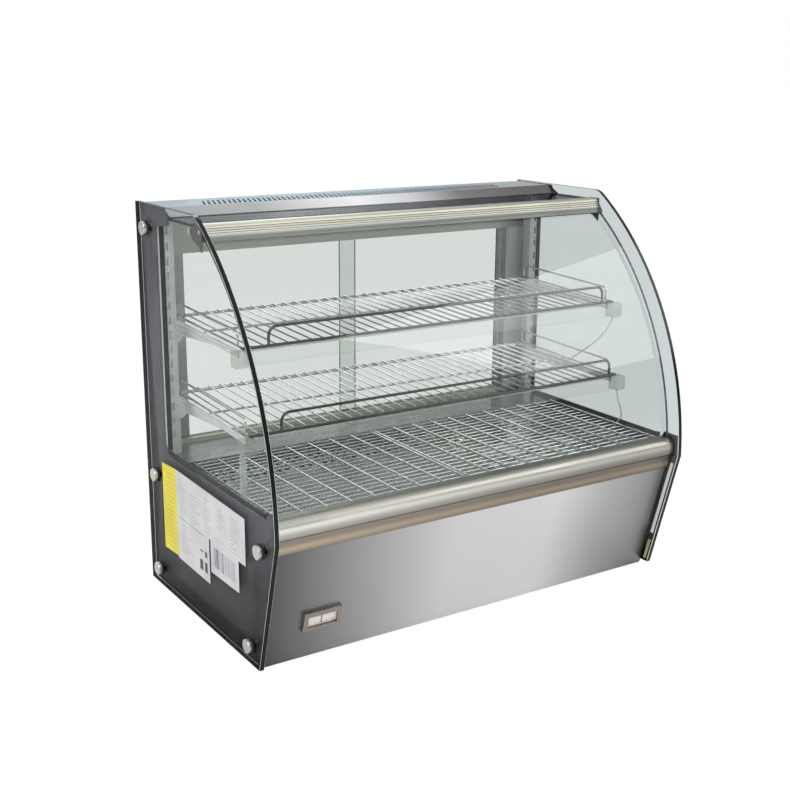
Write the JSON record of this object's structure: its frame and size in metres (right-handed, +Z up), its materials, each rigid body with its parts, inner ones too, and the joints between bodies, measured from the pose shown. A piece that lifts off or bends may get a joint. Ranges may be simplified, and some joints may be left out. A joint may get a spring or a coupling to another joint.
{
  "type": "hot food display case",
  "caption": "Heated counter-top display case with D-shaped glass sides, a lifting curved glass front, wire shelves with strip lamps, a water tray, a blower and sliding rear doors.",
  "frame": {"origin": "under the middle of the case's bounding box, on the plane that the rubber feet stand on", "axes": "+X along the case's width, to the right as the customer sees it; -Y towards the customer; +Z up"},
  "size_m": [0.877, 0.5095, 0.722],
  "materials": {
    "side_glass": "clear toughened glass, polished edge",
    "front_glass": "clear curved toughened glass",
    "top_glass": "tinted toughened glass",
    "door_glass": "clear toughened glass",
    "glass_print": "dark enamel fired on the glass",
    "stainless": "brushed stainless sheet",
    "stainless_apron": "brushed stainless sheet, grain along the width",
    "stainless_inner": "brushed stainless sheet, half bright",
    "sill_aluminium": "anodised extrusion, champagne tint",
    "rail_aluminium": "anodised extrusion",
    "track_aluminium": "anodised extrusion",
    "bolt_chrome": "polished",
    "wire_chrome": "bright plated wire",
    "arm_steel": "brushed sheet",
    "tray_steel": "bright rolled sheet",
    "black_rubber": "matte",
    "black_plastic": "fine grain",
    "gloss_black": "smooth",
    "bracket_black": "satin black",
    "lamp_cover": "translucent diffuser",
    "lamp_white": "satin",
    "clear_conduit": "clear",
    "lead_sleeve": "satin sleeve",
    "rocker_red": "smooth",
    "rocker_green": "smooth",
    "heater_steel": "heat-tinted sheath",
    "dial_face": "printed",
    "needle_red": "satin",
    "lens_clear": "clear",
    "sticker": "coated paper, blank"
  },
  "bodies": {
    "cabinet": {"left_side_glass": "side_glass", "right_side_glass": "side_glass", "left_side_print": "glass_print", "right_side_print": "glass_print", "side_bolts": "bolt_chrome", "side_bolt_washers": "black_rubber", "base_pan": "stainless", "front_apron": "stainless_apron", "base_sill": "sill_aluminium", "sill_ends": "black_plastic", "deck_pan": "stainless_inner", "air_outlet_plate": "stainless_inner", "water_tray": "tray_steel", "rubber_feet": "black_rubber", "thermometer_case": "gloss_black", "thermometer_dial": "dial_face", "thermometer_lens": "lens_clear", "top_cover": "stainless", "cover_gaskets": "black_rubber", "top_glass": "top_glass", "rail_brackets": "bracket_black", "rail_pivots": "bolt_chrome", "left_upright": "stainless", "right_upright": "stainless", "rear_jambs": "track_aluminium", "rear_sill_track": "track_aluminium", "rear_header": "track_aluminium", "upper_shelf": "wire_chrome", "lower_shelf": "wire_chrome", "upper_shelf_arms": "arm_steel", "lower_shelf_arms": "arm_steel", "upper_lamp_channel": "lamp_cover", "upper_lamp_cover": "lamp_cover", "upper_lamp_caps": "lamp_white", "lower_lamp_channel": "lamp_cover", "lower_lamp_cover": "lamp_cover", "lower_lamp_caps": "lamp_white", "upper_lamp_lead": "lead_sleeve", "lower_lamp_lead": "lead_sleeve", "lamp_conduit": "clear_conduit", "left_deck_grid": "wire_chrome", "right_deck_grid": "wire_chrome", "blower_frame": "black_plastic", "heater_element": "heater_steel", "rear_panel": "stainless", "switch_frames": "black_plastic", "thermostat_body": "black_plastic", "cable_gland": "black_plastic", "side_stickers": "sticker"},
    "front_glass": {"front_glass": "front_glass", "front_rail": "rail_aluminium"},
    "left_door": {"left_door_pane": "door_glass", "left_door_edge": "track_aluminium"},
    "right_door": {"right_door_pane": "door_glass", "right_door_edge": "track_aluminium"},
    "thermostat_knob": {"thermostat_knob": "black_plastic"},
    "power_rocker": {"power_rocker": "rocker_red"},
    "lamp_rocker": {"lamp_rocker": "rocker_green"},
    "blower_rotor": {"blower_rotor": "black_plastic"},
    "thermometer_needle": {"thermometer_needle": "needle_red"}
  },
  "joints": [
    {"name": "front_glass_lift", "type": "hinge", "parent": "cabinet", "child": "front_glass", "pos_m": [0, 0.006, 0.695], "axis": [-1, 0, 0], "range_deg": [0, 80]},
    {"name": "left_door_slide", "type": "slide", "parent": "cabinet", "child": "left_door", "axis": [1, 0, 0], "range_m": [0, 0.33]},
    {"name": "right_door_slide", "type": "slide", "parent": "cabinet", "child": "right_door", "axis": [-1, 0, 0], "range_m": [0, 0.33]},
    {"name": "thermostat_turn", "type": "hinge", "parent": "cabinet", "child": "thermostat_knob", "pos_m": [0.268, 0.236, 0.12], "axis": [0, 1, 0], "range_deg": [0, 270]},
    {"name": "power_switch_tip", "type": "hinge", "parent": "cabinet", "child": "power_rocker", "pos_m": [0.132, 0.236, 0.12], "axis": [-1, 0, 0], "range_deg": [0, 16]},
    {"name": "lamp_switch_tip", "type": "hinge", "parent": "cabinet", "child": "lamp_rocker", "pos_m": [0.18, 0.236, 0.12], "axis": [-1, 0, 0], "range_deg": [0, 16]},
    {"name": "blower_spin", "type": "hinge", "parent": "cabinet", "child": "blower_rotor", "pos_m": [-0.15, 0.1, 0.128], "axis": [0, 1, 0], "continuous": true},
    {"name": "thermometer_swing", "type": "hinge", "parent": "cabinet", "child": "thermometer_needle", "pos_m": [-0.3145, -0.18898, 0.07276], "axis": [0, 0.9658, 0.2593], "range_deg": [-45, 45], "stiffness_Nm_per_rad": 0.0002}
  ]
}
